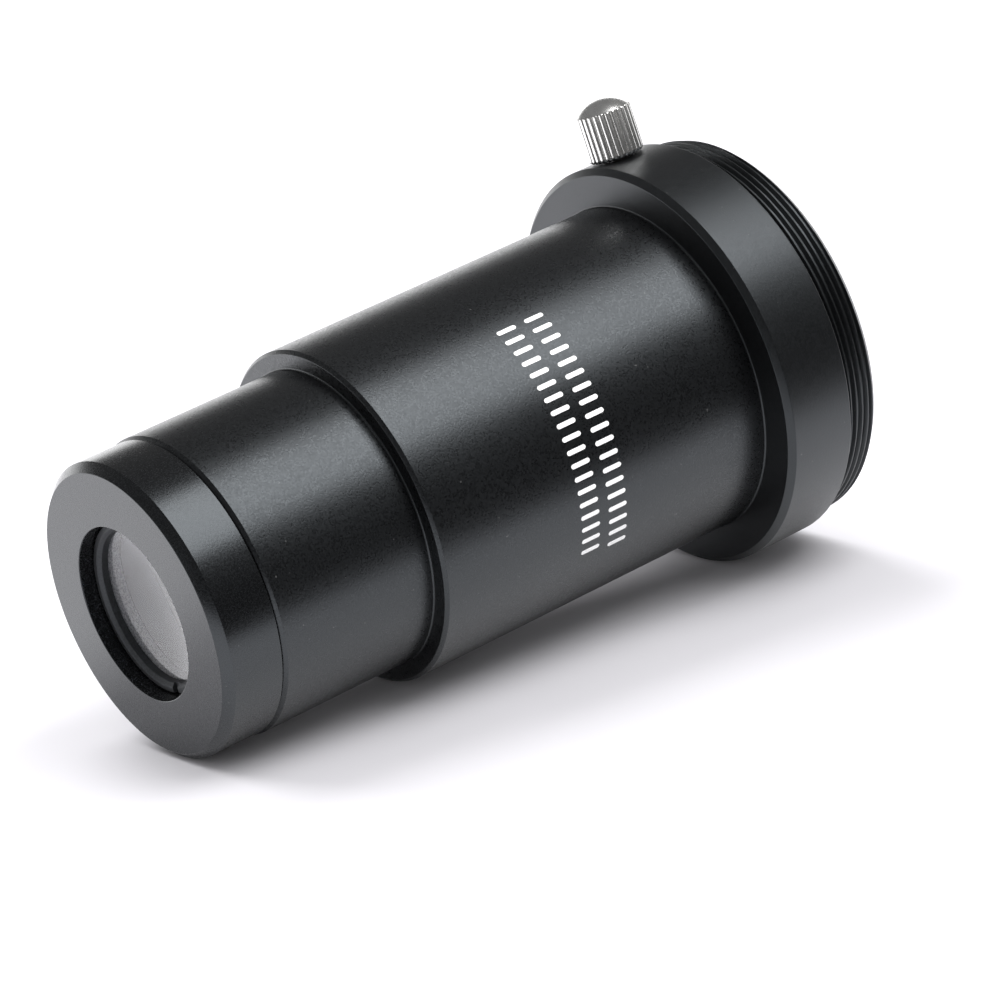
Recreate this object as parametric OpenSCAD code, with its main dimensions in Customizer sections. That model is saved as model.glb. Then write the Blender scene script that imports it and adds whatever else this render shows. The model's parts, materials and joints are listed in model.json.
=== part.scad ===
// Barlow lens for 1.25 inch eyepieces, lying on its side on a flat surface.
// Every round piece is drawn along the optical axis. Station 0 is the nose face,
// and stations grow towards the eyepiece end. Sizes are in millimetres.

/* [Nosepiece] */
// Outer radius of the nose tube, a slip fit in a 1.25 inch focuser
nose_r = 15.85; // [15.8:0.01:15.87]
// Outer radius of the screw-in lens cell
cell_r = 15.65; // [15.5:0.01:15.68]
// Length of the cell that shows in front of the nose tube
cell_len = 6.57; // [5.5:0.01:7]
// Chamfer on the cell's front rim
cell_chamfer = 0.9; // [0.4:0.1:1.2]
// Radius of the opening in the cell's face
cell_bore_r = 9.05; // [9.05:0.01:9.4]

/* [Body] */
// Station of the body's front face
body_front = 24.7; // [24:0.1:26]
// Station where the body meets the eyepiece holder
body_end = 65.66; // [65:0.01:67]
// Outer radius of the body tube
body_r = 17.82; // [17.7:0.01:18.4]

/* [Eyepiece holder] */
// Outer radius of the holder
head_r = 21.86; // [21.6:0.01:23]
// Length of the holder's large diameter
head_len = 8.02; // [7.8:0.01:9]
// Chamfer on the holder's front rim
head_chamfer = 0.62; // [0.3:0.01:0.8]
// Radius of the socket that takes an eyepiece barrel
socket_r = 15.9; // [15.89:0.01:15.95]
// Crest radius of the M42 x 0.75 camera thread
t_thread_r = 20.95; // [20.9:0.01:21]
// Length of the threaded collar behind the holder
t_thread_len = 4.38; // [4.3:0.01:5]

/* [Thumbscrew] */
// Radius of the M3 stud
stud_r = 1.5; // [1.45:0.01:1.5]
// Radius of the knob over its ridges
knob_r = 3; // [2.6:0.05:3.3]
// Height of the ridged part of the knob
knob_h = 5; // [4:0.05:6]
// Height of the polished dome on the knob
dome_h = 1.2; // [1:0.05:1.8]
// Number of ridges around the knob
ridge_count = 28; // [20:1:36]
// Lean of the screw away from the vertical
screw_lean = 9; // [0:1:20]

/* [Hidden] */
$fn = 96;

// Stations along the optical axis
seam_gap = 0.08;
nose_front = cell_len + seam_gap;
head_end = body_end + head_len;
tail_end = head_end + t_thread_len;
screw_station = body_end + head_len / 2;

// Small features shared by several pieces
edge = 0.15;
slip = 0.05;
overcut = 1;

// Lens pack, held between the cell's rear lip and the retaining ring
glass_r = cell_bore_r - 0.1;
clear_r = glass_r - 0.65;
ring_front = 1.6;
ring_len = 1.1;
front_lens_at = ring_front + ring_len + slip;
front_lens_len = 3.6;
spacer_at = front_lens_at + front_lens_len + slip;
spacer_len = 1;
doublet_at = spacer_at + spacer_len + slip;
crown_len = 3.15;
flint_len = 1;
cement = 0.02;
doublet_end = doublet_at + crown_len + cement + flint_len;
front_radius = 24;
middle_radius = 32;
crown_radius = 40;
cement_radius = 30;
lip_at = doublet_end + slip;
cell_end = lip_at + 0.8;
lip_r = 7.8;

// Filter-size thread M28.5 x 0.6 between the cell and the nose tube
cell_thread_r = 14.22;
cell_pitch = 0.6;
cell_thread_depth = 0.3;
nose_thread_r = cell_thread_r + 0.08;

// Inside of the tubes
nose_inner_r = 13.6;
thread_floor = cell_end + cell_pitch;
nose_seat_r = nose_r - 0.25;
nose_shoulder = body_front + 3;
nose_spigot_r = 15.2;
nose_end = body_front + 9;
body_inner_r = 14.2;
chamber_at = 50;
chamber_r = 16.3;
head_spigot_r = 16.9;
head_front = body_end - 5;
baffle_pitch = 1;
baffle_depth = 0.35;

// Camera thread and compression-ring groove
t_pitch = 0.75;
t_depth = 0.45;
t_relief_r = t_thread_r - 0.75;
t_relief_len = 0.6;
t_count = 4;
crest = 0.1;
groove_r = 17.1;
groove_half = 2;
split_w = 3;

// Thumbscrew heights, measured from the optical axis
stud_tip = groove_r + slip;
stud_pitch = 0.5;
stud_depth = 0.27;
knob_base = head_r + 0.14;
socket_depth = 2.6;
ridge_depth = 0.3;

// The barrel rests on the cell's front rim and the holder's front rim
rim_rise = head_r - cell_r;
rim_run = body_end + head_chamfer - cell_chamfer;
tilt = atan(rim_rise / rim_run);
rest_height = cell_r * cos(tilt) - cell_chamfer * sin(tilt);
low_x = -(cell_r - cell_chamfer) * sin(tilt);
tail_r = t_thread_r - 0.5;
high_x = tail_end * cos(tilt) + tail_r * sin(tilt);

// Points of a ring thread: a flat crest, then a V that is depth deep.
// A negative depth cuts outwards, for a thread inside a bore.
function ring_thread(r, depth, from, pitch, count) = [
    for (i = [0 : count - 1])
        each [[r, from + i * pitch],
              [r, from + i * pitch + crest],
              [r - depth, from + i * pitch + (pitch + crest) / 2]]
];

// The same list from its last point to its first
function backwards(points) = [for (i = [len(points) - 1 : -1 : 0]) points[i]];

// Puts a piece drawn along the optical axis into its resting place
module rest() {
    translate([-(low_x + high_x) / 2, 0, rest_height])
        rotate([0, -tilt, 0])
            rotate([-screw_lean, 0, 0])
                children();
}

// Turns an outline of [radius, station] points about the optical axis
module lathe(points) {
    rotate([0, 90, 0])
        rotate_extrude()
            polygon(points);
}

// A plain disc between two stations
module disc(r, from, to) {
    translate([from, 0, 0])
        rotate([0, 90, 0])
            cylinder(r = r, h = to - from);
}

// A sphere whose surface crosses the optical axis at a station.
// It hollows a face when the ball lies outside the disc.
module ball_before(station, r) {
    translate([station - r, 0, 0])
        rotate([0, 90, 0])
            sphere(r = r, $fn = 180);
}

module ball_behind(station, r) {
    translate([station + r, 0, 0])
        rotate([0, 90, 0])
            sphere(r = r, $fn = 180);
}

// Depth of a spherical hollow with the given rim radius
function sag(r, rim) = r - sqrt(r * r - rim * rim);

module lens_cell() {
    turns = floor((cell_end - cell_len - 1) / cell_pitch);
    male = ring_thread(cell_thread_r, cell_thread_depth, cell_len + 0.5, cell_pitch, turns);
    root_r = cell_thread_r - cell_thread_depth;
    color("#26272a") rest() lathe(concat(
        [[cell_bore_r + edge, 0], [cell_r - cell_chamfer, 0], [cell_r, cell_chamfer],
         [cell_r, cell_len - edge], [cell_r - edge, cell_len], [root_r, cell_len],
         [root_r, cell_len + 0.25]],
        male,
        [[root_r, cell_end], [lip_r, cell_end], [lip_r, lip_at], [cell_bore_r, lip_at],
         [cell_bore_r, edge]]
    ));
}

module cell_retaining_ring() {
    outer_r = cell_bore_r - slip;
    inner_r = cell_bore_r - 1;
    slot_w = 1;
    slot_depth = 0.5;
    color("#3a3b3e") rest() difference() {
        lathe([[inner_r + 0.3, ring_front], [outer_r - edge, ring_front],
               [outer_r, ring_front + edge], [outer_r, ring_front + ring_len],
               [inner_r, ring_front + ring_len], [inner_r, ring_front + 0.3]]);
        translate([ring_front - overcut, -slot_w / 2, -outer_r - overcut])
            cube([overcut + slot_depth, slot_w, 2 * outer_r + 2 * overcut]);
    }
}

module front_lens() {
    front_vertex = front_lens_at + sag(front_radius, clear_r);
    rear_vertex = front_lens_at + front_lens_len - sag(middle_radius, clear_r);
    color("#a9c4c8", 0.5) rest() difference() {
        disc(glass_r, front_lens_at, front_lens_at + front_lens_len);
        ball_before(front_vertex, front_radius);
        ball_behind(rear_vertex, middle_radius);
    }
}

module lens_spacer() {
    color("#1c1c1e") rest() difference() {
        disc(glass_r, spacer_at, spacer_at + spacer_len);
        disc(clear_r, spacer_at - overcut, spacer_at + spacer_len + overcut);
    }
}

module crown_lens() {
    front_vertex = doublet_at + sag(crown_radius, clear_r);
    rear_vertex = doublet_at + crown_len - sag(cement_radius, glass_r);
    color("#a9c4c8", 0.5) rest() difference() {
        disc(glass_r, doublet_at, doublet_at + crown_len);
        ball_before(front_vertex, crown_radius);
        ball_behind(rear_vertex, cement_radius);
    }
}

module flint_lens() {
    front_vertex = doublet_at + crown_len + cement - sag(cement_radius, glass_r);
    color("#a9c4c8", 0.5) rest() intersection() {
        disc(glass_r, front_vertex, doublet_end);
        ball_behind(front_vertex, cement_radius);
    }
}

module nose_tube() {
    turns = floor((thread_floor - nose_front - 1.2) / cell_pitch);
    female = ring_thread(nose_thread_r, -cell_thread_depth, nose_front + 0.6, cell_pitch, turns);
    baffles = floor((nose_end - thread_floor - 2) / baffle_pitch);
    ribs = ring_thread(nose_inner_r, -baffle_depth, thread_floor + 1, baffle_pitch, baffles);
    chamfer = 0.35;
    color("#222326") rest() lathe(concat(
        [[nose_thread_r + chamfer, nose_front], [nose_r - chamfer, nose_front],
         [nose_r, nose_front + chamfer], [nose_r, body_front],
         [nose_seat_r, body_front], [nose_seat_r, nose_shoulder],
         [nose_spigot_r, nose_shoulder], [nose_spigot_r, nose_end], [nose_inner_r, nose_end]],
        backwards(ribs),
        [[nose_inner_r, thread_floor], [nose_thread_r, thread_floor]],
        backwards(female),
        [[nose_thread_r, nose_front + chamfer]]
    ));
}

module body_tube() {
    baffles = floor((chamber_at - nose_end - 1) / baffle_pitch);
    ribs = ring_thread(body_inner_r, -baffle_depth, nose_end + slip + 0.5, baffle_pitch, baffles);
    chamfer = 0.35;
    bore_r = nose_seat_r + 0.03;
    spigot_bore_r = head_spigot_r + slip;
    color("#222326") rest() lathe(concat(
        [[bore_r, body_front], [body_r - chamfer, body_front],
         [body_r, body_front + chamfer], [body_r, body_end - edge],
         [body_r - edge, body_end], [spigot_bore_r, body_end], [spigot_bore_r, head_front],
         [chamber_r, head_front], [chamber_r, chamber_at], [body_inner_r, chamber_at]],
        backwards(ribs),
        [[body_inner_r, nose_end + slip], [nose_spigot_r + slip, nose_end + slip],
         [nose_spigot_r + slip, nose_shoulder], [bore_r, nose_shoulder]]
    ));
}

module eyepiece_holder() {
    thread_at = head_end + t_relief_len;
    thread = ring_thread(t_thread_r, t_depth, thread_at, t_pitch, t_count);
    last_crest = thread_at + t_count * t_pitch;
    mouth = 0.5;
    hole_r = stud_r + slip;
    color("#242528") rest() difference() {
        lathe(concat(
            [[socket_r, head_front], [head_spigot_r, head_front], [head_spigot_r, body_end],
             [head_r - head_chamfer, body_end], [head_r, body_end + head_chamfer],
             [head_r, head_end - edge], [head_r - edge, head_end], [t_relief_r, head_end],
             [t_relief_r, thread_at - edge]],
            thread,
            [[t_thread_r, last_crest], [t_thread_r, last_crest + crest], [tail_r, tail_end],
             [socket_r + mouth, tail_end], [socket_r, tail_end - mouth],
             [socket_r, screw_station + groove_half], [groove_r, screw_station + groove_half],
             [groove_r, screw_station - groove_half], [socket_r, screw_station - groove_half]]
        ));
        translate([screw_station, 0, socket_r - overcut])
            cylinder(r = hole_r, h = head_r);
        translate([screw_station, 0, head_r - 0.4])
            cylinder(r1 = hole_r, r2 = hole_r + 0.5, h = 0.5);
    }
}

module compression_ring() {
    outer_r = groove_r - slip;
    inner_r = socket_r + 0.2;
    half = groove_half - slip;
    color("#b8914a") rest() difference() {
        lathe([[inner_r + edge, screw_station - half], [outer_r, screw_station - half],
               [outer_r, screw_station + half], [inner_r + edge, screw_station + half],
               [inner_r, screw_station + half - edge], [inner_r, screw_station - half + edge]]);
        translate([screw_station - groove_half, -split_w / 2, -outer_r - overcut])
            cube([2 * groove_half, split_w, outer_r]);
    }
}

// The stud is turned about its own axis, which stands on the optical axis
module thumbscrew_stud() {
    turns = floor((knob_base - stud_tip - 1) / stud_pitch);
    thread = ring_thread(stud_r, stud_depth, stud_tip + 0.5, stud_pitch, turns);
    last_crest = stud_tip + 0.5 + turns * stud_pitch;
    top = knob_base + socket_depth - slip;
    color("#c9c9cb") rest() translate([screw_station, 0, 0]) rotate_extrude() polygon(concat(
        [[0, stud_tip], [stud_r - 0.4, stud_tip], [stud_r - stud_depth, stud_tip + 0.2]],
        thread,
        [[stud_r, last_crest], [stud_r, top], [0, top]]
    ));
}

// Cross-section of the knob: flat ridges with V grooves between them
module ridged_section() {
    step = 360 / ridge_count;
    polygon([
        for (i = [0 : ridge_count - 1], turn = [-0.22, 0.22, 0.5])
            let (r = turn == 0.5 ? knob_r - ridge_depth : knob_r, a = (i + turn) * step)
                [r * cos(a), r * sin(a)]
    ]);
}

module thumbscrew_knob() {
    dome_rim = knob_r - ridge_depth - 0.05;
    dome_radius = (dome_rim * dome_rim + dome_h * dome_h) / (2 * dome_h);
    foot_r = knob_r - 0.25;
    cone_h = knob_r + overcut - foot_r;
    color("#d4d4d6") rest() translate([screw_station, 0, knob_base]) difference() {
        union() {
            intersection() {
                linear_extrude(height = knob_h)
                    ridged_section();
                union() {
                    cylinder(r1 = foot_r, r2 = knob_r + overcut, h = cone_h);
                    translate([0, 0, cone_h])
                        cylinder(r = knob_r + overcut, h = knob_h);
                }
            }
            intersection() {
                cylinder(r = dome_rim, h = knob_h + dome_h);
                translate([0, 0, knob_h + dome_h - dome_radius])
                    sphere(r = dome_radius);
            }
        }
        translate([0, 0, -overcut])
            cylinder(r = stud_r + slip, h = socket_depth + overcut);
    }
}

lens_cell();
cell_retaining_ring();
front_lens();
lens_spacer();
crown_lens();
flint_lens();
nose_tube();
body_tube();
eyepiece_holder();
compression_ring();
thumbscrew_stud();
thumbscrew_knob();
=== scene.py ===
"""Looks of the barlow lens: smooth lathed shells, real threads, printed marks and glass.

Everything is placed in the axis frame of the CAD model. A point is (station, side, up) in
millimetres: station along the optical axis from the nose face, up along the thumbscrew.
"""

import json
import math

import bpy
import numpy as np
from mathutils import Euler, Matrix, Vector


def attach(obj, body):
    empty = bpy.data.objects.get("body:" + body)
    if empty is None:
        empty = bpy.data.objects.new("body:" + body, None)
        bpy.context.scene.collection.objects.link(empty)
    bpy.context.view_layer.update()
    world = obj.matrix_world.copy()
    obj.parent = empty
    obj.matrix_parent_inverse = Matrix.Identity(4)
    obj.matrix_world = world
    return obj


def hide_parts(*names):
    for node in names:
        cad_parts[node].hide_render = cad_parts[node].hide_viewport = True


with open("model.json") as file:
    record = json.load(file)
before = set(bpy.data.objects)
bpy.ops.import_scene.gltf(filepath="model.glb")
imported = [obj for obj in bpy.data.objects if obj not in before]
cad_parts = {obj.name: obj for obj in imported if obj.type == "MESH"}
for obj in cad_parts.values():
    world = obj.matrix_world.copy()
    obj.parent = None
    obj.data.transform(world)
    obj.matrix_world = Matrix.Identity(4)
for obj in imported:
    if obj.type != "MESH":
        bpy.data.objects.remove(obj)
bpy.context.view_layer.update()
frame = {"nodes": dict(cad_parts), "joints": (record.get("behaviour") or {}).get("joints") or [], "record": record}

MM = 0.001
TAU = 2 * math.pi

# ---------------------------------------------------------------- axis frame

record = frame["record"]
mounts = {m["name"]: m for m in record["mounts"]}
joints = {j["name"]: j for j in frame["joints"]}

AXIS = Vector(mounts["eyepiece_socket"]["axis"]).normalized()
SCREW = Vector(joints["thumbscrew_turn"]["axis"]).normalized()
SIDE = SCREW.cross(AXIS).normalized()
TURN = Matrix((AXIS, SIDE, SCREW)).transposed()


def cad_stations(node):
    """Lowest and highest station of a CAD node, in mm from the socket mount's place."""
    centre = Vector(mounts["eyepiece_socket"]["pos_m"])
    at = [(v.co - centre).dot(AXIS) / MM for v in frame["nodes"][node].data.vertices]
    return min(at), max(at)


NOSE_FROM_SOCKET = cad_stations("lens_cell")[0]
ORIGIN = Vector(mounts["eyepiece_socket"]["pos_m"]) + AXIS * (NOSE_FROM_SOCKET * MM)


def place(station, side, up):
    """A point of the axis frame, in metres, in the CAD frame."""
    return ORIGIN + TURN @ (Vector((station, side, up)) * MM)


# ---------------------------------------------------------------- dimensions in mm

nose_r = mounts["nosepiece"]["dims"]["r_mm"]
socket_r = mounts["eyepiece_socket"]["dims"]["r_mm"]
camera_r = mounts["camera_thread"]["dims"]["r_mm"]

cell_r = 15.65
cell_len = 6.57
cell_chamfer = 0.9
cell_bore_r = 9.05
cell_end = 12.47
lip_at = 11.67
lip_r = 7.8
nose_front = 6.65
body_front = 24.7
nose_end = 33.7
body_end = 65.66
body_r = 17.82
head_r = 21.85
head_end = 73.68
head_chamfer = 0.62
tail_end = 78.06
screw_station = 69.67

# ---------------------------------------------------------------- mesh tools


def make_mesh(name, points, faces, smooth_angle=38):
    """A smooth-shaded mesh from axis-frame points in mm. Its object sits at the origin."""
    turn = np.array(TURN)
    world = np.asarray(points, float) @ turn.T * MM + np.array(ORIGIN)
    mesh = bpy.data.meshes.new(name)
    mesh.from_pydata(world.tolist(), [], faces)
    mesh.validate()
    mesh.update()
    shade(mesh, smooth_angle)
    obj = bpy.data.objects.new(name, mesh)
    bpy.context.scene.collection.objects.link(obj)
    return obj


def shade(mesh, smooth_angle):
    """Smooth shading, with edges sharper than the angle (degrees) kept sharp."""
    mesh.polygons.foreach_set("use_smooth", [True] * len(mesh.polygons))
    mesh.set_sharp_from_angle(angle=math.radians(smooth_angle))
    mesh.update()


def weighted(obj):
    """Large faces keep their own direction, and the small rounded corners bend between them."""
    mod = obj.modifiers.new("even_shading", "WEIGHTED_NORMAL")
    mod.mode = "FACE_AREA"
    mod.weight = 50
    mod.keep_sharp = True
    return obj


def rounded(outline, steps=4):
    """Closed outline of (station, radius[, fillet]) corners, with the fillets cut into arcs."""
    count = len(outline)
    out = []
    for i in range(count):
        here = np.array(outline[i][:2], float)
        fillet = outline[i][2] if len(outline[i]) > 2 else 0
        before = np.array(outline[i - 1][:2], float) - here
        after = np.array(outline[(i + 1) % count][:2], float) - here
        a, b = np.linalg.norm(before), np.linalg.norm(after)
        if fillet <= 0 or a < 1e-9 or b < 1e-9:
            out.append(here)
            continue
        before, after = before / a, after / b
        cosine = float(np.clip(before @ after, -1, 1))
        half = math.acos(cosine) / 2
        reach = min(fillet / max(math.tan(half), 1e-6), 0.48 * a, 0.48 * b)
        radius = reach * math.tan(half)
        middle = before + after
        middle /= np.linalg.norm(middle)
        centre = here + middle * (radius / math.sin(half))
        start, end = here + before * reach - centre, here + after * reach - centre
        sweep = math.atan2(start[0] * end[1] - start[1] * end[0], start @ end)
        for k in range(steps + 1):
            t = sweep * k / steps
            out.append(
                centre
                + np.array(
                    [
                        start[0] * math.cos(t) - start[1] * math.sin(t),
                        start[0] * math.sin(t) + start[1] * math.cos(t),
                    ]
                )
            )
    return np.array(out)


def dense(outline, low, high, step, radius_from, radius_to):
    """Adds points along outline edges that lie in a zone of stations and radii."""
    out = []
    count = len(outline)
    for i in range(count):
        p, q = outline[i], outline[(i + 1) % count]
        out.append(p)
        inside = (
            min(p[0], q[0]) >= low - 1e-6
            and max(p[0], q[0]) <= high + 1e-6
            and min(p[1], q[1]) >= radius_from
            and max(p[1], q[1]) <= radius_to
        )
        parts = int(abs(q[0] - p[0]) / step) if inside else 0
        for k in range(1, parts):
            out.append(p + (q - p) * k / parts)
    return np.array(out)


def lathe(name, outline, columns=256, warp=None, smooth_angle=38):
    """Turns a closed outline of (station, radius) about the axis. Points on the axis become poles.
    warp(station, radius, angle) may change the radius, for a thread or a cut."""
    outline = np.asarray(outline, float)
    area = 0.5 * np.sum(
        outline[:, 0] * np.roll(outline[:, 1], -1)
        - np.roll(outline[:, 0], -1) * outline[:, 1]
    )
    if area < 0:
        outline = outline[::-1]
    rows = len(outline)
    angles = np.arange(columns) * TAU / columns
    points, first = [], []
    for station, radius in outline:
        first.append(len(points))
        if radius < 1e-6:
            points.append((station, 0.0, 0.0))
            continue
        r = np.full(columns, radius)
        if warp is not None:
            r = warp(np.full(columns, station), r, angles)
        for a, rr in zip(angles, r):
            points.append((station, -rr * math.sin(a), rr * math.cos(a)))
    faces = []
    for i in range(rows):
        j = (i + 1) % rows
        pole_i, pole_j = outline[i][1] < 1e-6, outline[j][1] < 1e-6
        if pole_i and pole_j:
            continue
        for c in range(columns):
            d = (c + 1) % columns
            if pole_i:
                faces.append((first[i], first[j] + d, first[j] + c))
            elif pole_j:
                faces.append((first[i] + c, first[i] + d, first[j]))
            else:
                faces.append(
                    (first[i] + c, first[i] + d, first[j] + d, first[j] + c)
                )
    obj = make_mesh(name, points, faces, smooth_angle)
    return face_out(obj)


def face_out(obj):
    """Turns the faces round if the mesh is inside out."""
    mesh = obj.data
    mesh.calc_loop_triangles()
    co = np.array([v.co for v in mesh.vertices])
    tri = np.array([t.vertices[:] for t in mesh.loop_triangles])
    a, b, c = co[tri[:, 0]], co[tri[:, 1]], co[tri[:, 2]]
    if np.sum(np.einsum("ij,ij->i", a, np.cross(b, c))) < 0:
        mesh.flip_normals()
    mesh.update()
    return obj


def helix(root, depth, pitch, start, outwards=True):
    """Radius of a right-handed V thread with a flat crest and root."""

    def radius(station, angle):
        phase = (station - start) / pitch + angle / TAU
        wave = 1 - np.abs(2 * (phase - np.floor(phase)) - 1)
        height = depth * np.clip((wave - 0.18) / 0.66, 0, 1)
        return root + height if outwards else root - height

    return radius


def smooth(x):
    """Eases from 0 to 1."""
    x = np.clip(x, 0, 1)
    return x * x * (3 - 2 * x)


def cut_with(obj, cutter, smooth_angle=38):
    """Cuts one mesh out of another and deletes the cutter."""
    mod = obj.modifiers.new("cut", "BOOLEAN")
    mod.operation = "DIFFERENCE"
    mod.solver = "EXACT"
    mod.object = cutter
    bpy.context.view_layer.update()
    graph = bpy.context.evaluated_depsgraph_get()
    mesh = bpy.data.meshes.new_from_object(obj.evaluated_get(graph))
    obj.modifiers.clear()
    old = obj.data
    obj.data = mesh
    bpy.data.meshes.remove(old)
    spare = cutter.data
    bpy.data.objects.remove(cutter)
    bpy.data.meshes.remove(spare)
    shade(obj.data, smooth_angle)
    return obj


def screw_lathe(name, outline, columns=96, smooth_angle=38, warp=None):
    """Turns an outline of (height, radius) about the thumbscrew's axis."""
    obj = lathe(name, outline, columns, warp, smooth_angle)
    # the lathe's axis is the optical axis: swing it up onto the screw
    to_axis = Matrix.Translation(ORIGIN) @ TURN.to_4x4()
    stand = Matrix(((0, 0, 1), (0, 1, 0), (-1, 0, 0))).transposed().to_4x4()
    shift = Matrix.Translation(Vector((screw_station * MM, 0, 0)))
    obj.data.transform(to_axis @ shift @ stand @ to_axis.inverted())
    obj.data.update()
    return face_out(obj)


def block(name, low, high):
    """A box between two axis-frame corners, used as a cutter."""
    corners = [
        (x, y, z)
        for x in (low[0], high[0])
        for y in (low[1], high[1])
        for z in (low[2], high[2])
    ]
    faces = [
        (0, 1, 3, 2),
        (4, 6, 7, 5),
        (0, 4, 5, 1),
        (2, 3, 7, 6),
        (0, 2, 6, 4),
        (1, 5, 7, 3),
    ]
    return face_out(make_mesh(name, corners, faces))


def settle(obj, body, slot, *nodes):
    """Fixes a finished piece to its CAD body and hides the nodes it stands for; the finish it is given (slot) is
    not used.
    """
    if nodes:
        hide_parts(*nodes)
    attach(obj, body)
    return obj


# ---------------------------------------------------------------- materials


class Nodes:
    """Small helper to write a node tree in a few lines."""

    def __init__(self, tree):
        self.tree = tree

    def add(self, kind, inputs=None, **settings):
        node = self.tree.nodes.new(kind)
        for key, value in settings.items():
            setattr(node, key, value)
        for key, value in (inputs or {}).items():
            self.put(node, key, value)
        return node

    def put(self, node, key, value):
        if isinstance(value, bpy.types.NodeSocket):
            self.tree.links.new(value, node.inputs[key])
        else:
            node.inputs[key].default_value = value

    def math(self, operation, a, b=None, c=None, clamp=False):
        node = self.add("ShaderNodeMath", operation=operation, use_clamp=clamp)
        for i, value in enumerate((a, b, c)):
            if value is not None:
                self.put(node, i, value)
        return node.outputs[0]

    def ramp(self, value, low, high, to_low=0.0, to_high=1.0, soft=True):
        node = self.add("ShaderNodeMapRange")
        node.interpolation_type = "SMOOTHSTEP" if soft else "LINEAR"
        for key, v in zip(
            ("Value", "From Min", "From Max", "To Min", "To Max"),
            (value, low, high, to_low, to_high),
        ):
            self.put(node, key, v)
        return node.outputs[0]

    def noise(self, vector, scale, detail=2.0, roughness=0.5):
        return self.add(
            "ShaderNodeTexNoise",
            {"Vector": vector, "Scale": scale, "Detail": detail, "Roughness": roughness},
        ).outputs[0]

    def mix(self, factor, a, b):
        node = self.add("ShaderNodeMix", data_type="RGBA")
        for key, value in ((0, factor), (6, a), (7, b)):
            self.put(node, key, value)
        return node.outputs[2]


def axis_coordinates(n):
    """Object coordinates turned into the axis frame, and their station and radius, in metres."""
    where = n.add("ShaderNodeTexCoord").outputs["Object"]
    mapping = n.add("ShaderNodeMapping", vector_type="TEXTURE")
    n.put(mapping, "Vector", where)
    mapping.inputs["Location"].default_value = ORIGIN
    mapping.inputs["Rotation"].default_value = TURN.to_euler()
    vector = mapping.outputs[0]
    parts = n.add("ShaderNodeSeparateXYZ", {"Vector": vector}).outputs
    square = n.math(
        "ADD", n.math("MULTIPLY", parts[1], parts[1]), n.math("MULTIPLY", parts[2], parts[2])
    )
    radius = n.math("SQRT", square)
    return vector, parts[0], radius


def new_material(name):
    mat = bpy.data.materials.new(name)
    mat.use_nodes = True
    tree = mat.node_tree
    tree.nodes.clear()
    n = Nodes(tree)
    shader = n.add("ShaderNodeBsdfPrincipled")
    output = n.add("ShaderNodeOutputMaterial")
    tree.links.new(shader.outputs[0], output.inputs[0])
    return mat, n, shader


def grey(value, tint=(1.0, 1.0, 1.0)):
    return (value * tint[0], value * tint[1], value * tint[2], 1.0)


def anodised(name, base, roughness, grain, turned=0.0, dust=0.0, tint=(0.96, 0.98, 1.06)):
    """Black anodised aluminium. grain is the blasted texture, turned the strength of tool lines."""
    mat, n, shader = new_material(name)
    vector, station, radius = axis_coordinates(n)
    fine = n.ramp(n.noise(vector, 4800.0, 2.0, 0.6), 0.3, 0.7)
    coarse = n.noise(vector, 1300.0, 3.0, 0.55)
    cloud = n.noise(vector, 90.0, 3.0, 0.5)
    tone = n.math("ADD", n.math("MULTIPLY", fine, 0.7), n.math("MULTIPLY", coarse, 0.3))
    colour = n.mix(
        n.ramp(tone, 0.3, 0.7), grey(base * 0.7, tint), grey(base * 1.4, tint)
    )
    if dust:
        speck = n.noise(vector, 2300.0, 1.0, 0.4)
        colour = n.mix(
            n.ramp(speck, 0.79, 0.82, 0.0, dust), colour, grey(0.4, (1.0, 0.99, 0.97))
        )
    n.put(shader, "Base Color", colour)
    rough = n.math(
        "ADD",
        roughness,
        n.math(
            "ADD",
            n.math("MULTIPLY", n.math("SUBTRACT", tone, 0.5), 0.2 * grain),
            n.math("MULTIPLY", n.math("SUBTRACT", cloud, 0.5), 0.06),
        ),
        clamp=True,
    )
    n.put(shader, "Roughness", rough)
    height = n.math("MULTIPLY", tone, grain)
    if turned:
        lines = n.add(
            "ShaderNodeTexNoise",
            {"Scale": 1.0, "Detail": 3.0, "Roughness": 0.7},
            noise_dimensions="1D",
        )
        n.put(
            lines,
            "W",
            n.math("MULTIPLY", n.math("ADD", station, n.math("MULTIPLY", radius, 1.7)), 9000.0),
        )
        height = n.math("ADD", height, n.math("MULTIPLY", lines.outputs[0], turned))
    bump = n.add("ShaderNodeBump", {"Strength": 0.45, "Distance": 0.000016, "Height": height})
    n.put(shader, "Normal", bump.outputs[0])
    shader.inputs["IOR"].default_value = 1.5
    shader.inputs["Specular Tint"].default_value = (0.87, 0.94, 1.0, 1.0)
    return mat


def metal(name, base, roughness, tint, wear=0.1, turned=0.3):
    """Bare or plated metal, clouded a little. turned is the strength of its fine bump."""
    mat, n, shader = new_material(name)
    vector = axis_coordinates(n)[0]
    cloud = n.noise(vector, 700.0, 3.0, 0.6)
    fine = n.noise(vector, 6000.0, 2.0, 0.6)
    n.put(
        shader,
        "Base Color",
        n.mix(n.ramp(cloud, 0.3, 0.7), grey(base * (1 - wear), tint), grey(base, tint)),
    )
    n.put(shader, "Metallic", 1.0)
    n.put(
        shader,
        "Roughness",
        n.math("ADD", roughness, n.math("MULTIPLY", n.math("SUBTRACT", cloud, 0.5), 0.12), clamp=True),
    )
    bump = n.add(
        "ShaderNodeBump",
        {"Strength": 0.2 * turned, "Distance": 0.00001, "Height": fine},
    )
    n.put(shader, "Normal", bump.outputs[0])
    return mat


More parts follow.
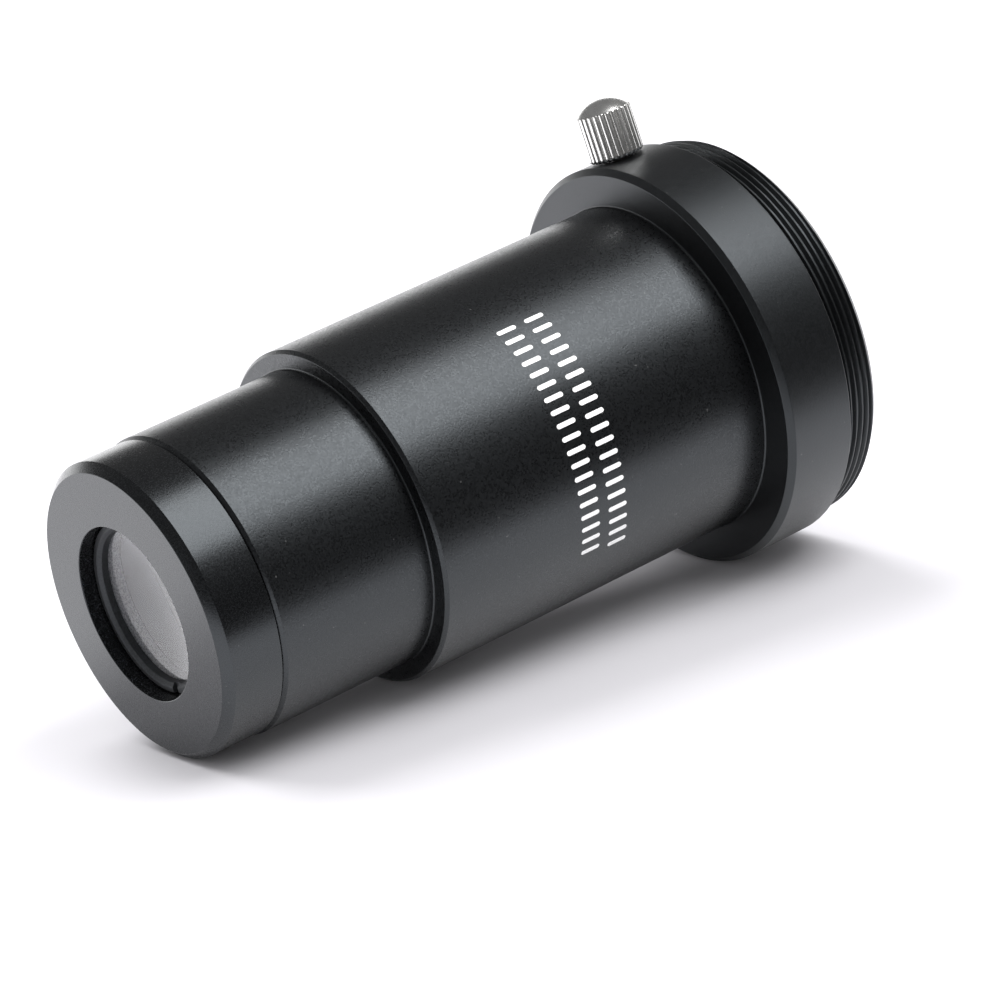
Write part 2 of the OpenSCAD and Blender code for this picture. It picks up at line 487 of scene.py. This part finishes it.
def coated_glass(name, index, haze):
    """Clear glass with a few dust specks. haze is the share of the light that it scatters."""
    mat, n, shader = new_material(name)
    vector = axis_coordinates(n)[0]
    film = n.noise(vector, 160.0, 2.0, 0.5)
    speck = n.noise(vector, 1100.0, 1.0, 0.3)
    n.put(
        shader,
        "Base Color",
        n.mix(n.ramp(film, 0.35, 0.65), (0.93, 0.95, 0.98, 1), (0.97, 0.97, 0.99, 1)),
    )
    n.put(shader, "Transmission Weight", 1.0 - haze)
    n.put(
        shader,
        "Roughness",
        n.ramp(speck, 0.77, 0.8, 0.0, 0.3),
    )
    shader.inputs["IOR"].default_value = index
    return mat


def white_ink():
    """Printed ink, a little worn."""
    mat, n, shader = new_material("white_ink")
    vector = axis_coordinates(n)[0]
    wear = n.noise(vector, 2600.0, 3.0, 0.6)
    n.put(
        shader, "Base Color", n.mix(n.ramp(wear, 0.2, 0.5), grey(0.75), grey(0.93, (1, 1, 0.99)))
    )
    n.put(shader, "Roughness", n.ramp(wear, 0.3, 0.7, 0.5, 0.65))
    return mat


blasted = anodised("blasted_anodised", 0.003, 0.33, 1.0, dust=0.15)
face_black = anodised("cell_anodised", 0.003, 0.26, 0.5, turned=0.25, dust=0.12)
head_black = anodised("holder_anodised", 0.003, 0.38, 0.5, turned=0.4, dust=0.12)
ring_black = anodised("blackened_ring", 0.02, 0.5, 0.8, turned=0.3)
inner_black = anodised("inner_black", 0.012, 0.55, 0.8, turned=0.4)
glass = coated_glass("coated_glass", 1.55, 0.1)
dense_glass = coated_glass("coated_dense_glass", 1.62, 0.0)
brass = metal("spring_brass", 0.62, 0.3, (1.0, 0.78, 0.42), turned=1.0)
steel = metal("stud_steel", 0.56, 0.32, (1.0, 1.0, 1.0), turned=1.0)
nickel = metal("nickel", 0.86, 0.27, (1.0, 0.995, 0.98), wear=0.08)
ground = anodised("ground_glass_edge", 0.3, 0.6, 0.6)
ink = white_ink()

# ---------------------------------------------------------------- lens cell

cell_thread = helix(13.92, 0.3, 0.6, 7.1)


def cell_warp(station, radius, angle):
    on_thread = (radius > 13.5) & (station > cell_len + 0.3)
    lead = 13.85 + (cell_end - station)
    return np.where(
        on_thread, np.minimum(cell_thread(station, angle), lead), radius
    )


cell_outline = rounded(
    [
        (0.0, cell_bore_r + 0.1, 0.12),
        (0.0, cell_r - cell_chamfer, 0.12),
        (cell_chamfer, cell_r, 0.12),
        (cell_len, cell_r, 0.14),
        (cell_len, 13.9, 0.05),
        (cell_len + 0.31, 13.9),
        (cell_end, 13.9),
        (cell_end, lip_r, 0.08),
        (lip_at, lip_r, 0.04),
        (lip_at, cell_bore_r),
    ]
)
cell_outline = dense(cell_outline, cell_len + 0.3, cell_end, 0.05, 13.5, 14.5)
cell = weighted(lathe("lens_cell_shell", cell_outline, 288, cell_warp))
cell.data.materials.append(face_black)
settle(cell, "cell", "satin_anodised", "lens_cell")

# ---------------------------------------------------------------- retaining ring

ring_outline = rounded(
    [
        (1.6, 8.45, 0.04),
        (1.6, 8.98, 0.03),
        (2.7, 8.99, 0.03),
        (2.7, 8.07, 0.03),
        (1.95, 8.07, 0.05),
    ]
)
ring = lathe("retaining_ring_shell", ring_outline, 256)
ring = cut_with(ring, block("slot_cutter", (0.6, -0.5, -10), (2.1, 0.5, 10)))
ring = weighted(ring)
ring.data.materials.append(ring_black)
settle(ring, "cell", "blackened_ring", "cell_retaining_ring")

# ---------------------------------------------------------------- lenses


def arc(vertex, radius, rim, hollow, steps=28):
    """(station, radius) points of a spherical surface from the axis to its rim."""
    sign = -1 if hollow else 1
    out = []
    for i in range(steps + 1):
        h = rim * i / steps
        out.append((vertex + sign * (radius - math.sqrt(radius * radius - h * h)), h))
    return out


def sag(radius, rim):
    """How deep a spherical surface of that radius is at the rim."""
    return radius - math.sqrt(radius * radius - rim * rim)


def grind_edge(obj):
    """The rim faces of a lens are ground and painted, not polished."""
    obj.data.materials.append(ground)
    for face in obj.data.polygons:
        at = face.center - ORIGIN
        out = (at - AXIS * at.dot(AXIS)).normalized()
        if out.dot(face.normal) > 0.9:
            face.material_index = 1


clear_r = 8.3
glass_r = 8.94

front_face = arc(2.75 + sag(24, clear_r), 24, clear_r, True)
rear_face = arc(6.35 - sag(32, clear_r), 32, clear_r, False)
front_outline = (
    front_face
    + [(2.75, glass_r - 0.08), (2.83, glass_r), (6.27, glass_r), (6.35, glass_r - 0.08)]
    + rear_face[::-1]
)
front = lathe("front_lens_shell", front_outline, 192)
front.data.materials.append(glass)
grind_edge(front)
settle(front, "lens_pack", "coated_glass", "front_lens")

crown_front = arc(7.45 + sag(40, clear_r), 40, clear_r, True)
crown_rear = arc(10.6 - sag(30, glass_r), 30, glass_r - 0.02, False)
crown_outline = crown_front + [(7.45, glass_r - 0.02)] + crown_rear[::-1]
crown = lathe("crown_lens_shell", crown_outline, 192)
crown.data.materials.append(dense_glass)
grind_edge(crown)
settle(crown, "lens_pack", "coated_glass", "crown_lens")

flint_front = arc(10.62 - sag(30, glass_r), 30, glass_r - 0.02, False)
flint_outline = flint_front + [
    (11.6, glass_r - 0.02),
    (11.6, 8.5),
    (11.6, 6.0),
    (11.6, 3.0),
    (11.6, 1.0),
    (11.6, 0.0),
]
flint = lathe("flint_lens_shell", flint_outline, 192)
flint.data.materials.append(dense_glass)
grind_edge(flint)
settle(flint, "lens_pack", "coated_glass", "flint_lens")

spacer_outline = rounded(
    [(6.4, 8.32, 0.05), (6.4, 8.93, 0.04), (7.4, 8.93, 0.04), (7.4, 8.32, 0.05)]
)
spacer = weighted(lathe("spacer_shell", spacer_outline, 192))
spacer.data.materials.append(inner_black)
settle(spacer, "lens_pack", "blackened_ring", "lens_spacer")

# ---------------------------------------------------------------- nose tube

nose_thread = helix(14.6, 0.3, 0.6, 7.1, outwards=False)
nose_baffle = helix(13.95, 0.35, 1.0, 14.0, outwards=False)


def nose_warp(station, radius, angle):
    thread_zone = (radius < 14.45) & (radius > 14.15) & (station < 12.7)
    baffle_zone = (radius < 13.7) & (station > 13.9) & (station < 32.9)
    radius = np.where(thread_zone, nose_thread(station, angle), radius)
    return np.where(baffle_zone, nose_baffle(station, angle), radius)


nose_outline = rounded(
    [
        (nose_front, 14.62, 0.04),
        (nose_front, nose_r - 0.36, 0.08),
        (nose_front + 0.36, nose_r, 0.1),
        (body_front, nose_r, 0.02),
        (body_front, nose_r - 0.25),
        (27.7, nose_r - 0.25),
        (27.7, 15.2),
        (nose_end, 15.2, 0.05),
        (nose_end, 13.6, 0.05),
        (32.91, 13.6),
        (13.89, 13.6),
        (13.07, 13.6),
        (13.07, 14.3),
        (12.71, 14.3),
        (7.1, 14.3),
    ]
)
nose_outline = dense(nose_outline, 7.1, 12.71, 0.05, 14.2, 14.4)
nose_outline = dense(nose_outline, 13.89, 32.91, 0.1, 13.5, 13.7)
nose = weighted(lathe("nose_tube_shell", nose_outline, 288, nose_warp))
nose.data.materials.append(blasted)
settle(nose, "root", "blasted_anodised", "nose_tube")

# ---------------------------------------------------------------- body tube

body_baffle = helix(14.55, 0.35, 1.0, 34.6, outwards=False)


def body_warp(station, radius, angle):
    zone = (radius < 14.3) & (station > 34.3) & (station < 49.1)
    return np.where(zone, body_baffle(station, angle), radius)


cove = 0.19
body_corners = [
    (body_front - cove, nose_r + 0.006),
    (body_front - 0.6 * cove, nose_r + 0.02),
    (body_front - 0.25 * cove, nose_r + 0.08),
    (body_front, nose_r + cove),
    (body_front, body_r - 0.35, 0.1),
    (body_front + 0.35, body_r, 0.1),
    (body_end, body_r, 0.1),
    (body_end, 16.95),
    (60.66, 16.95),
    (60.66, 16.3),
    (50.0, 16.3, 0.05),
    (50.0, 14.2, 0.05),
    (49.11, 14.2),
    (34.29, 14.2),
    (33.75, 14.2),
    (33.75, 15.25),
    (27.7, 15.25),
    (27.7, nose_r - 0.22),
    (body_front, nose_r - 0.22),
    (body_front, nose_r + 0.004),
]
body_outline = dense(rounded(body_corners), 34.29, 49.11, 0.1, 14.1, 14.3)
body = weighted(lathe("body_tube_shell", body_outline, 288, body_warp))
body.data.materials.append(blasted)
settle(body, "root", "blasted_anodised", "body_tube")

# ---------------------------------------------------------------- eyepiece holder

camera_thread = helix(camera_r - 0.4, 0.4, 0.75, 74.42)
relief_r = 20.2
relief_end = head_end + 0.6


def holder_warp(station, radius, angle):
    zone = (radius > 20.0) & (radius < 20.5) & (station > relief_end - 0.01)
    thread = camera_thread(station, angle)
    start = relief_r + (thread - relief_r) * smooth((station - relief_end) / 0.12)
    lead = 20.38 + (tail_end - 0.02 - station) * 0.9
    return np.where(zone, np.minimum(start, lead), radius)


holder_corners = [
    (60.66, socket_r, 0.1),
    (60.66, 16.9, 0.1),
    (body_end, 16.9),
    (body_end, body_r + 0.004),
    (body_end - cove, body_r + 0.006),
    (body_end - 0.6 * cove, body_r + 0.02),
    (body_end - 0.25 * cove, body_r + 0.08),
    (body_end, body_r + cove),
    (body_end, head_r - head_chamfer, 0.12),
    (body_end + head_chamfer, head_r, 0.14),
    (head_end, head_r, 0.16),
    (head_end, relief_r, 0.08),
    (relief_end, relief_r),
    (tail_end, relief_r),
    (tail_end, socket_r + 0.5, 0.1),
    (tail_end - 0.5, socket_r, 0.1),
    (screw_station + 2, socket_r, 0.04),
    (screw_station + 2, 17.1),
    (screw_station - 2, 17.1),
    (screw_station - 2, socket_r, 0.04),
]
holder_outline = dense(rounded(holder_corners), relief_end, tail_end, 0.045, 20.1, 20.3)
holder = lathe("eyepiece_holder_shell", holder_outline, 384, holder_warp)
hole = screw_lathe(
    "hole_cutter",
    [
        (14.9, 0.0),
        (14.9, 1.55),
        (head_r - 0.4, 1.55),
        (head_r + 0.2, 2.1),
        (24.0, 2.1),
        (24.0, 0.0),
    ],
    64,
)
holder = weighted(cut_with(holder, hole))
holder.data.materials.append(head_black)
settle(holder, "root", "satin_anodised", "eyepiece_holder")

# ---------------------------------------------------------------- compression ring


def split_ring(name, inner, outer, low, high, gap, steps=180):
    """A flat ring that is open at the side away from the screw."""
    half = math.asin(gap / 2 / inner)
    section = rounded(
        [(low, inner, 0.15), (low, outer, 0.05), (high, outer, 0.05), (high, inner, 0.15)]
    )
    angles = np.linspace(-math.pi + half, math.pi - half, steps)
    rows = len(section)
    points = [
        (s, -r * math.sin(a), r * math.cos(a)) for a in angles for s, r in section
    ]
    faces = [
        (i * rows + k, i * rows + (k + 1) % rows, (i + 1) * rows + (k + 1) % rows, (i + 1) * rows + k)
        for i in range(steps - 1)
        for k in range(rows)
    ]
    faces.append(tuple(range(rows))[::-1])
    faces.append(tuple((steps - 1) * rows + k for k in range(rows)))
    return face_out(make_mesh(name, points, faces))


spring = split_ring(
    "compression_ring_shell",
    inner=socket_r + 0.2,
    outer=17.05,
    low=screw_station - 1.95,
    high=screw_station + 1.95,
    gap=3.0,
)
spring = weighted(spring)
spring.data.materials.append(brass)
settle(spring, "root", "spring_brass", "compression_ring")

# ---------------------------------------------------------------- thumbscrew

stud_thread = helix(1.23, 0.27, 0.5, 17.6)


def stud_warp(station, radius, angle):
    zone = (radius > 1.3) & (station > 17.3) & (station < 21.4)
    fade = smooth((21.4 - station) / 0.3)
    thread = stud_thread(station, angle)
    lead = 1.1 + (station - 17.15)
    return np.where(zone, np.minimum(radius + (thread - radius) * fade, lead), radius)


stud_outline = rounded(
    [
        (17.15, 0.0),
        (17.15, 1.1, 0.05),
        (17.35, 1.25),
        (17.5, 1.5),
        (21.4, 1.5),
        (24.5, 1.5, 0.1),
        (24.5, 0.0),
    ]
)
stud_outline = dense(stud_outline, 17.5, 21.4, 0.04, 1.4, 1.6)
stud = weighted(screw_lathe("thumbscrew_stud_shell", stud_outline, 96, warp=stud_warp))
stud.data.materials.append(steel)
settle(stud, "stud", "stud_steel", "thumbscrew_stud")

knob_r = 3.0
knob_base = 22.0
knob_top = knob_base + 5
dome_rim = 2.84
dome_h = 1.18
ridges = 28


def knob_warp(station, radius, angle):
    """Rounded bright ridges with V grooves, over the straight side of the knob."""
    phase = angle * ridges / TAU
    wave = np.abs(2 * (phase - np.floor(phase)) - 1)
    groove = 0.3 * (1 - np.sqrt(np.clip(1 - (1 - wave) ** 2 * 0.98, 0, 1)))
    side = (radius > 2.6) & (station < knob_top - 0.005)
    return np.where(side, np.maximum(radius - groove, 2.6), radius)


dome_radius = (dome_rim**2 + dome_h**2) / (2 * dome_h)
dome_centre = knob_top + dome_h - dome_radius
dome = []
for i in range(25):
    t = math.asin(min(1, dome_rim / dome_radius)) * i / 24
    dome.append((dome_centre + dome_radius * math.cos(t), dome_radius * math.sin(t)))
knob_outline = [
    (knob_base, 1.55),
    (knob_base, 2.72),
    (knob_base + 0.25, knob_r - 0.01),
    (knob_base + 0.4, knob_r),
    (knob_top - 0.1, knob_r),
    (knob_top - 0.03, knob_r - 0.03),
    (knob_top, knob_r - 0.1),
    (knob_top + 0.005, dome_rim),
] + dome[::-1] + [(knob_base + 2.6, 0.0), (knob_base + 2.6, 1.55)]
knob = screw_lathe("thumbscrew_knob_shell", knob_outline, ridges * 12, 50, knob_warp)
knob = weighted(knob)
knob.data.materials.append(nickel)
settle(knob, "knob", "nickel", "thumbscrew_knob")

# ---------------------------------------------------------------- printed marks


def tick_row(points, faces, station, height, width, first, last, count):
    """Plain straight ticks printed round the body, as thin raised ink. Angles from the knob."""
    ends = width / 2
    along = [-height / 2 + ends * (1 - math.cos(k * math.pi / 8)) for k in range(5)]
    along += [-u for u in reversed(along)]
    for index in range(count):
        middle = math.radians(first + (last - first) * index / (count - 1))
        base = len(points)
        for u in along:
            into = height / 2 - abs(u)
            half = ends
            if into < ends:
                half = math.sqrt(max(ends**2 - (ends - into) ** 2, 0.0004))
            for lift in (-0.01, 0.014):
                r = body_r + lift
                for sign in (-1, 0, 1):
                    a = middle + sign * half / r
                    points.append((station + u, -r * math.sin(a), r * math.cos(a)))
        last_row = len(along) - 1
        for k in range(last_row):
            a, b = base + 6 * k, base + 6 * (k + 1)
            faces.append((a + 3, b + 3, b + 4, a + 4))
            faces.append((a + 4, b + 4, b + 5, a + 5))
            faces.append((a, a + 1, b + 1, b))
            faces.append((a + 1, a + 2, b + 2, b + 1))
            faces.append((a, b, b + 3, a + 3))
            faces.append((a + 2, a + 5, b + 5, b + 2))
        a, b = base, base + 6 * last_row
        faces.append((a, a + 3, a + 4, a + 1))
        faces.append((a + 1, a + 4, a + 5, a + 2))
        faces.append((b, b + 1, b + 4, b + 3))
        faces.append((b + 1, b + 2, b + 5, b + 4))


TICK_COUNT = 19
TICK_HEIGHT = 2.3
TICK_WIDTH = 0.5
mark_points, mark_faces = [], []
for row_station, last_angle in ((46.25, 128.5), (42.8, 126.5)):
    tick_row(
        mark_points, mark_faces, row_station, TICK_HEIGHT, TICK_WIDTH, 44.5, last_angle, TICK_COUNT
    )
marks = make_mesh("printed_marks", mark_points, mark_faces)
normal = marks.data.polygons[0].normal
middle = marks.data.polygons[0].center - ORIGIN
if normal.dot(middle - AXIS * middle.dot(AXIS)) < 0:
    marks.data.flip_normals()
marks.data.materials.append(ink)
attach(marks, "root")

# ---------------------------------------------------------------- floor, light and camera


def floor_material():
    """White paper. Glossy rays alone see a painted glow on it near the object and a painted dark reflection far in
    front of it.
    """
    mat, n, shader = new_material("studio_floor")
    where = n.add("ShaderNodeTexCoord").outputs["Object"]
    paper = n.noise(where, 30.0, 3.0, 0.5)
    tint = (1.0, 0.985, 1.03)
    n.put(
        shader,
        "Base Color",
        n.mix(n.ramp(paper, 0.3, 0.7), grey(0.545, tint), grey(0.555, tint)),
    )
    n.put(shader, "Roughness", 0.9)
    shader.inputs["Specular IOR Level"].default_value = 0.0
    # masks for where glossy rays see the painted glow (beside) and the painted dark reflection (in_front)
    depth = n.add("ShaderNodeSeparateXYZ", {"Vector": where}).outputs[1]
    in_front = n.ramp(depth, -0.038, -0.07)
    beside = n.math("ADD", n.ramp(depth, -0.004, -0.022), n.ramp(depth, 0.015, 0.04))
    glossy = n.add("ShaderNodeLightPath").outputs["Is Glossy Ray"]
    # painted glow: the paper emits light that only reflections see, beside and behind the object
    n.put(shader, "Emission Color", (1, 1, 1, 1))
    painted_glow = n.math("MULTIPLY", n.math("MULTIPLY", glossy, beside), FLOOR_PAINTED_GLOW)
    n.put(shader, "Emission Strength", painted_glow)
    # painted dark reflection: a dim emission that glossy rays see in place of the lit paper far in front
    painted_dark_reflection = n.add("ShaderNodeEmission", {"Color": (1, 1, 1, 1), "Strength": 0.1})
    mixer = n.add("ShaderNodeMixShader", {0: n.math("MULTIPLY", glossy, in_front)})
    n.tree.links.new(shader.outputs[0], mixer.inputs[1])
    n.tree.links.new(painted_dark_reflection.outputs[0], mixer.inputs[2])
    output = [x for x in n.tree.nodes if x.bl_idname == "ShaderNodeOutputMaterial"][0]
    n.tree.links.new(mixer.outputs[0], output.inputs[0])
    return mat


# strength of the painted glow that reflections see on the floor near the object
FLOOR_PAINTED_GLOW = 0.9
FLOOR_HALF = 3.0
floor_corners = [(x * FLOOR_HALF, y * FLOOR_HALF, 0) for x, y in ((-1, -1), (1, -1), (1, 1), (-1, 1))]
floor_mesh = bpy.data.meshes.new("floor")
floor_mesh.from_pydata(floor_corners, [], [(0, 1, 2, 3)])
floor = bpy.data.objects.new("floor", floor_mesh)
bpy.context.scene.collection.objects.link(floor)
floor.data.materials.append(floor_material())


def area_light(name, direction, distance, size, watts, glossy):
    light = bpy.data.lights.new(name, "AREA")
    light.shape = "SQUARE"
    light.size = size
    light.energy = watts
    obj = bpy.data.objects.new(name, light)
    bpy.context.scene.collection.objects.link(obj)
    towards = Vector(direction).normalized()
    obj.location = Vector((0, 0, 0.02)) + towards * distance
    obj.rotation_euler = towards.to_track_quat("Z", "Y").to_euler()
    obj.visible_glossy = glossy
    obj.visible_camera = False
    return obj


KEY_RADIANCE = 6.6
KEY_SIZE = 0.36
KEY_DIRECTION = (0.29, -0.42, 0.85)
KEY_WATTS = KEY_RADIANCE * math.pi * KEY_SIZE**2
area_light("key_softbox", KEY_DIRECTION, 0.5, KEY_SIZE, KEY_WATTS, True)
BACK_RADIANCE = 6.5
BACK_SIZE = 0.8
BACK_DIRECTION = (-0.1, 0.66, 0.75)
BACK_WATTS = BACK_RADIANCE * math.pi * BACK_SIZE**2
area_light("back_fill", BACK_DIRECTION, 0.9, BACK_SIZE, BACK_WATTS, False)

world = bpy.data.worlds.new("studio")
bpy.context.scene.world = world
world.use_nodes = True
world.node_tree.nodes.clear()
w = Nodes(world.node_tree)
sky = w.add("ShaderNodeTexCoord").outputs["Generated"]
sky_parts = w.add("ShaderNodeSeparateXYZ", {"Vector": sky}).outputs
behind = w.ramp(sky_parts[1], -0.35, 0.3)
low = w.math("ADD", 0.1, w.math("MULTIPLY", behind, 2.5))
high_part = w.ramp(sky_parts[2], 0.12, 0.3)
pattern = w.math(
    "ADD",
    w.math("MULTIPLY", low, w.math("SUBTRACT", 1.0, high_part)),
    w.math("MULTIPLY", high_part, 0.18),
)
path = w.add("ShaderNodeLightPath").outputs
ambient = 0.8
soft = w.math(
    "ADD",
    w.math("MULTIPLY", pattern, w.math("SUBTRACT", 1.0, path["Is Diffuse Ray"])),
    w.math("MULTIPLY", path["Is Diffuse Ray"], ambient),
)
strength = w.math(
    "ADD",
    w.math("MULTIPLY", soft, w.math("SUBTRACT", 1.0, path["Is Camera Ray"])),
    w.math("MULTIPLY", path["Is Camera Ray"], 1.2),
)
background = w.add("ShaderNodeBackground", {"Color": (1, 1, 1, 1), "Strength": strength})
world_output = w.add("ShaderNodeOutputWorld")
world.node_tree.links.new(background.outputs[0], world_output.inputs[0])

CAMERA_AZIMUTH = -123.2
CAMERA_ELEVATION = 16.7
CAMERA_ROLL = 9.15
CAMERA_DISTANCE = 0.4894
CAMERA_LENS = 173.4
CAMERA_AIM = (43.2, 0.0, -5.57)

azimuth, elevation = math.radians(CAMERA_AZIMUTH), math.radians(CAMERA_ELEVATION)
away = Vector(
    (
        math.cos(azimuth) * math.cos(elevation),
        math.sin(azimuth) * math.cos(elevation),
        math.sin(elevation),
    )
)
camera_data = bpy.data.cameras.new("camera")
camera_data.lens = CAMERA_LENS
camera_data.sensor_width = 36
camera_data.clip_start = 0.01
camera = bpy.data.objects.new("camera", camera_data)
bpy.context.scene.collection.objects.link(camera)
upright = away.to_track_quat("Z", "Y")
camera.rotation_euler = (
    upright @ Euler((0, 0, math.radians(-CAMERA_ROLL))).to_quaternion()
).to_euler()
camera.location = place(*CAMERA_AIM) + away * CAMERA_DISTANCE
bpy.context.scene.camera = camera

bpy.context.scene.view_settings.view_transform = "Standard"
bpy.context.scene.view_settings.look = "None"
